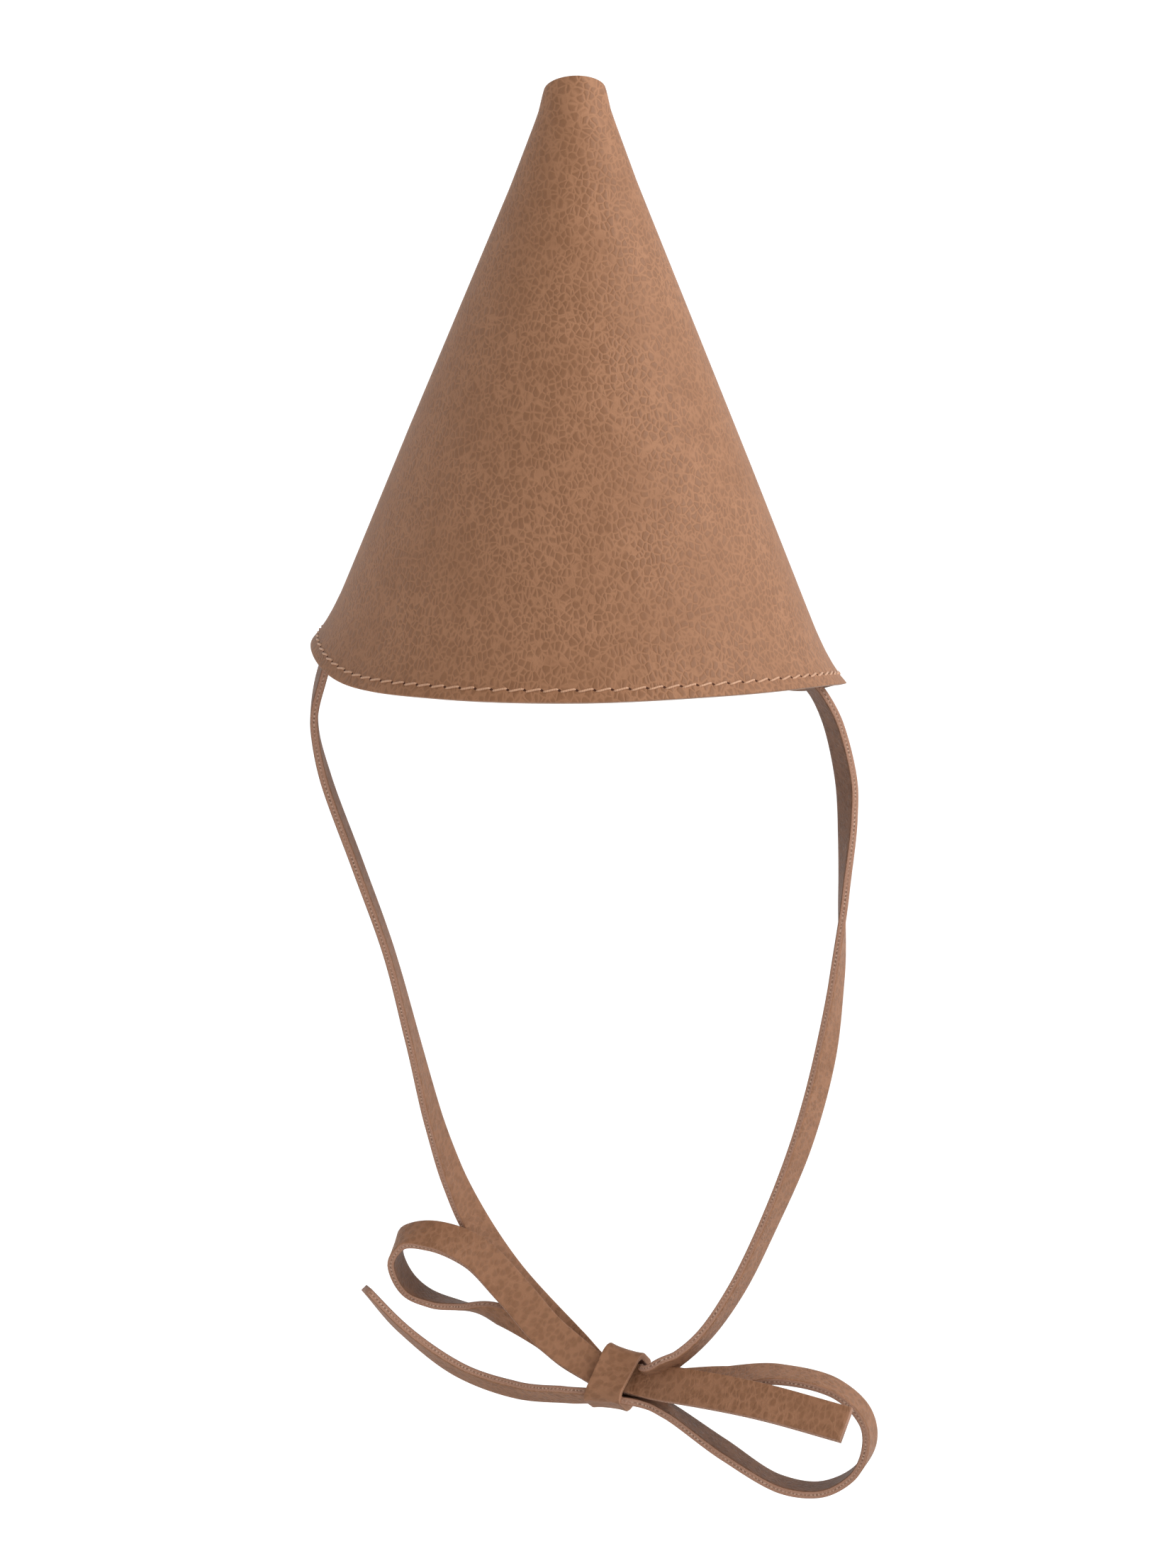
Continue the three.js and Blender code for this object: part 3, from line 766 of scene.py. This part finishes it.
def between(tree, value, low, high, start=0.0, end=1.0):
    """A value taken smoothly from one range to another."""
    links = {"Value": value, "From Min": low, "From Max": high, "To Min": start, "To Max": end}
    return add_node(tree, "ShaderNodeMapRange", links, interpolation_type="SMOOTHSTEP").outputs["Result"]


def mixed(tree, factor, first, second):
    """Two colours mixed."""
    return add_node(tree, "ShaderNodeMix", {0: factor, 6: first, 7: second}, data_type="RGBA").outputs[2]


def vector_maths(tree, operation, *inputs):
    """A vector maths node's results."""
    return add_node(tree, "ShaderNodeVectorMath", dict(enumerate(inputs)), operation=operation).outputs


def noise(tree, place, scale, detail=2.0):
    """A noise texture."""
    return add_node(tree, "ShaderNodeTexNoise", {"Vector": place, "Scale": scale, "Detail": detail}).outputs


def cell_distance(tree, place, scale, scatter, feature):
    """Distance in a texture of cells: from a cell's edge or from its middle."""
    links = {"Vector": place, "Scale": scale, "Randomness": scatter}
    return add_node(tree, "ShaderNodeTexVoronoi", links, feature=feature).outputs["Distance"]


def set_bump(tree, shader, height, strength, distance):
    """Relief on a shader, with its distance in metres."""
    bump = add_node(tree, "ShaderNodeBump", {"Height": height, "Strength": strength, "Distance": distance})
    tree.links.new(bump.outputs["Normal"], shader.inputs["Normal"])


def set_inputs(shader, **values):
    """Fixed values of a shader's inputs, named with _ for each space."""
    for name, value in values.items():
        shader.inputs[name.replace("_", " ")].default_value = value


def leather_place(tree):
    """The place on the leather given by the mesh."""
    return add_node(tree, "ShaderNodeUVMap", uv_map="leather").outputs["UV"]


def new_material(name):
    """An empty node material with its surface shader: the material, its tree and the shader."""
    material = bpy.data.materials.new(name)
    material.use_nodes = True
    tree = material.node_tree
    shader = tree.nodes["Principled BSDF"]
    return material, tree, shader


def leather_material(name, leather):
    """Pebbled leather: small domed cells between fine sunk creases, over broad and fine unevenness."""
    material, tree, shader = new_material(name)
    place = leather_place(tree)
    pushed = vector_maths(tree, "SUBTRACT", noise(tree, place, WARP_SCALE, 1.0)["Color"], (0.5, 0.5, 0.5))[0]
    bent = vector_maths(tree, "MULTIPLY_ADD", pushed, (WARP_REACH, WARP_REACH, 0), place)[0]
    turn = (0, 0, math.radians(GRAIN_TURN))
    turned = add_node(
        tree, "ShaderNodeMapping", {"Vector": bent, "Rotation": turn, "Scale": GRAIN_STRETCH}
    ).outputs[0]
    cells = cell_distance(tree, turned, leather.grain, GRAIN_SCATTER, "DISTANCE_TO_EDGE")
    crumbs = cell_distance(tree, turned, leather.grain * CRUMB_SIZE, 1.0, "DISTANCE_TO_EDGE")
    shading = cell_distance(tree, turned, leather.grain, GRAIN_SCATTER, leather.shade.feature)
    broad = noise(tree, place, BROAD_SCALE, 3.0)["Fac"]
    tone = noise(tree, turned, leather.grain * TONE_SIZE, 3.0)["Fac"]
    fine = noise(tree, place, FINE_SCALE, 3.0)["Fac"]

    strength = between(tree, broad, 0.35, 0.65, 0.7, 1.0)
    pebble = between(tree, cells, 0.0, 0.28)
    height = maths(tree, "MULTIPLY_ADD", between(tree, crumbs, 0.0, 0.15), CRUMB_SHARE, pebble)
    raised = maths(tree, "MULTIPLY", maths(tree, "MULTIPLY", height, GRAIN_HEIGHT), strength)
    set_bump(tree, shader, maths(tree, "MULTIPLY_ADD", fine, FINE_SHARE, raised), *GRAIN_RELIEF)

    crease = maths(tree, "MULTIPLY", between(tree, shading, *leather.shade[1:]), strength)
    patch = maths(tree, "MULTIPLY_ADD", between(tree, tone, 0.3, 0.7), TONE_SHARE, crease)
    tree.links.new(mixed(tree, patch, leather.dark, leather.light), shader.inputs["Base Color"])
    tree.links.new(between(tree, raised, 0.0, 1.0, 0.7, 0.58), shader.inputs["Roughness"])
    set_inputs(shader, Specular_IOR_Level=0.28, Sheen_Weight=0.02, Sheen_Roughness=0.6)
    return material


def edge_material(name, edge):
    """Cut edge of two bonded layers: a line of small light and dark specks in the middle of a plain edge."""
    material, tree, shader = new_material(name)
    place = leather_place(tree)
    split = add_node(tree, "ShaderNodeSeparateXYZ", {"Vector": place}).outputs
    rough = noise(tree, place, ROUGH_SCALE, 4.0)["Fac"]
    fuzz = noise(tree, place, FUZZ_SCALE, 2.0)["Fac"]
    broad = noise(tree, place, PATCH_SCALE, 1.0)["Fac"]

    wobble = maths(tree, "MULTIPLY_ADD", rough, CORE_WANDER, split["Y"])
    aside = maths(tree, "ABSOLUTE", maths(tree, "SUBTRACT", wobble, CORE_WANDER / 2))
    core = between(tree, aside, CORE_FULL, CORE_FADED, 0.9, 0.0)
    shown = maths(tree, "MULTIPLY", core, between(tree, broad, 0.35, 0.65, 0.3, 1.0))
    jitter = maths(tree, "MULTIPLY", rough, SPECK_JITTER)
    beat = maths(tree, "SINE", maths(tree, "MULTIPLY_ADD", split["X"], 2 * math.pi / SPECK_PITCH, jitter))
    speck = mixed(tree, between(tree, beat, -0.2, 0.6), edge.dark, edge.light)
    plain = mixed(tree, between(tree, fuzz, 0.35, 0.65, 0.0, 0.3), edge.plain, edge.light)
    tree.links.new(mixed(tree, shown, plain, speck), shader.inputs["Base Color"])
    relief = maths(tree, "MULTIPLY_ADD", fuzz, 0.5, maths(tree, "MULTIPLY", core, -0.6))
    set_bump(tree, shader, relief, *EDGE_RELIEF)
    set_inputs(shader, Roughness=0.75, Specular_IOR_Level=0.25)
    return material


def thread_material():
    """Tan waxed thread."""
    material, tree, shader = new_material("thread")
    place = add_node(tree, "ShaderNodeTexCoord").outputs["Object"]
    links = {"Vector": place, "Scale": STRAND_SCALE, "Distortion": 1.0}
    strands = add_node(tree, "ShaderNodeTexWave", links).outputs["Fac"]
    tree.links.new(mixed(tree, strands, *THREAD_COLOURS), shader.inputs["Base Color"])
    set_bump(tree, shader, strands, *THREAD_RELIEF)
    set_inputs(shader, Roughness=0.5)
    return material


def hole_material():
    """The shaded inside of a needle hole."""
    material, tree, shader = new_material("needle_hole")
    place = add_node(tree, "ShaderNodeTexCoord").outputs["Object"]
    speckle = noise(tree, place, SPECKLE_SCALE)["Fac"]
    tree.links.new(mixed(tree, speckle, *HOLE_SHADE_COLOURS), shader.inputs["Base Color"])
    set_inputs(shader, Roughness=0.9, Specular_IOR_Level=0.1)
    return material


def dress(piece, materials, node):
    """Gives a piece its materials and its place in the frame."""
    for material in materials:
        piece.data.materials.append(material)
    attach(piece, "root")
    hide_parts(node)


def floor_profile():
    """Reach and height of the floor's rings, from its middle out and up to the backdrop's top."""
    profile = [(reach, -FLOOR_DROP) for reach in (*FLOOR_RINGS, FLOOR_REACH)]
    for turn in np.radians(BEND_TURNS):
        reach = FLOOR_REACH + FLOOR_BEND * math.sin(turn)
        profile.append((reach, FLOOR_BEND * (1 - math.cos(turn)) - FLOOR_DROP))
    profile.append((FLOOR_REACH + FLOOR_BEND, BACKDROP_TOP))
    return profile


def make_stage():
    """A pale round floor that curves up all round into a backdrop, dimmer just below the hat."""
    points = []
    for reach, z in floor_profile():
        for turn in np.radians(np.arange(FLOOR_SIDES) * 360 / FLOOR_SIDES):
            points.append(np.array((reach * math.cos(turn), reach * math.sin(turn), z)) / MM)
    faces = [list(range(FLOOR_SIDES))]
    for low in range(0, len(points) - FLOOR_SIDES, FLOOR_SIDES):
        high = low + FLOOR_SIDES
        for side in range(FLOOR_SIDES):
            beside = (side + 1) % FLOOR_SIDES
            faces.append((low + side, high + side, high + beside, low + beside))
    floor = new_object("floor", points, faces)
    floor.data.materials.append(floor_material())


def floor_material():
    """Matt pale floor that glows white away from the hat."""
    material, tree, shader = new_material("floor")
    place = add_node(tree, "ShaderNodeTexCoord").outputs["Object"]
    level = vector_maths(tree, "MULTIPLY", place, (1, 1, 0))[0]
    away = vector_maths(tree, "LENGTH", level)["Value"]
    glow = between(tree, away, GLOW_START, GLOW_FULL, 0.0, GLOW_STRENGTH)
    tree.links.new(glow, shader.inputs["Emission Strength"])
    set_inputs(
        shader, Base_Color=FLOOR_TONE, Roughness=0.9, Specular_IOR_Level=0.0, Emission_Color=(1, 1, 1, 1)
    )
    material.cycles.emission_sampling = "NONE"
    return material


def add_light(name, place, target, size, watts):
    """A soft square light at a place, turned to a target, both in metres."""
    light = bpy.data.lights.new(name, "AREA")
    light.energy, light.size = watts, size
    holder = bpy.data.objects.new(name, light)
    holder.location = place
    away = unit(np.array(place, float) - np.array(target, float))
    level = math.hypot(away[0], away[1])
    holder.rotation_euler = (math.atan2(level, away[2]), 0, math.atan2(away[0], -away[1]))
    bpy.context.scene.collection.objects.link(holder)


def set_light():
    """Soft studio light, stronger from the right."""
    world = bpy.data.worlds.new("world")
    world.use_nodes = True
    background = world.node_tree.nodes["Background"]
    background.inputs["Color"].default_value = (1, 1, 1, 1)
    background.inputs["Strength"].default_value = WORLD_STRENGTH
    bpy.context.scene.world = world
    for light in LIGHTS:
        add_light(*light)
    bpy.context.scene.view_settings.view_transform = "Standard"


set_camera()

right_route = [
    *RIGHT_TIE_DOWN, *through_knot(RETURN_STRIP, -1), *LEFT_LOOP, *through_knot(FRONT_STRIP, 1), *RIGHT_TAIL,
]
left_route = [
    *LEFT_TIE_DOWN, *through_knot(NECK_STRAP, 1), *RIGHT_LOOP, *through_knot(LOWER_STRIP, -1), *LEFT_TAIL,
]
crown = make_crown()
tie_right = make_tie("tie_right_leather", right_route)
tie_left = make_tie("tie_left_leather", left_route)
wrap = make_wrap()
thread, holes = make_stitches()

# Materials in the order of the kinds of quads: grain face, cut edge, inner face
crown_materials = [leather_material("crown_leather", CROWN_LEATHER), edge_material("crown_edge", CROWN_EDGE)]
tie_face = leather_material("tie_leather", TIE_LEATHER)
# The inner faces of the ties and the wrap get the darker copy of the tie leather: painted shade.
tie_back_painted_shade = leather_material("tie_inner_painted_shade", TIE_INNER_PAINTED_SHADE)
tie_materials = [tie_face, edge_material("tie_edge", TIE_EDGE), tie_back_painted_shade]
# The wrap's cut edge uses the edge material painted lighter: painted light.
wrap_materials = [tie_face, edge_material("wrap_edge_painted_light", WRAP_EDGE_PAINTED_LIGHT), tie_back_painted_shade]

dress(crown, crown_materials, "crown")
dress(thread, [thread_material()], "crown")
dress(holes, [hole_material()], "crown")
dress(tie_right, tie_materials, "tie_right")
dress(tie_left, tie_materials, "tie_left")
dress(wrap, wrap_materials, "tie_left")

make_stage()
set_light()
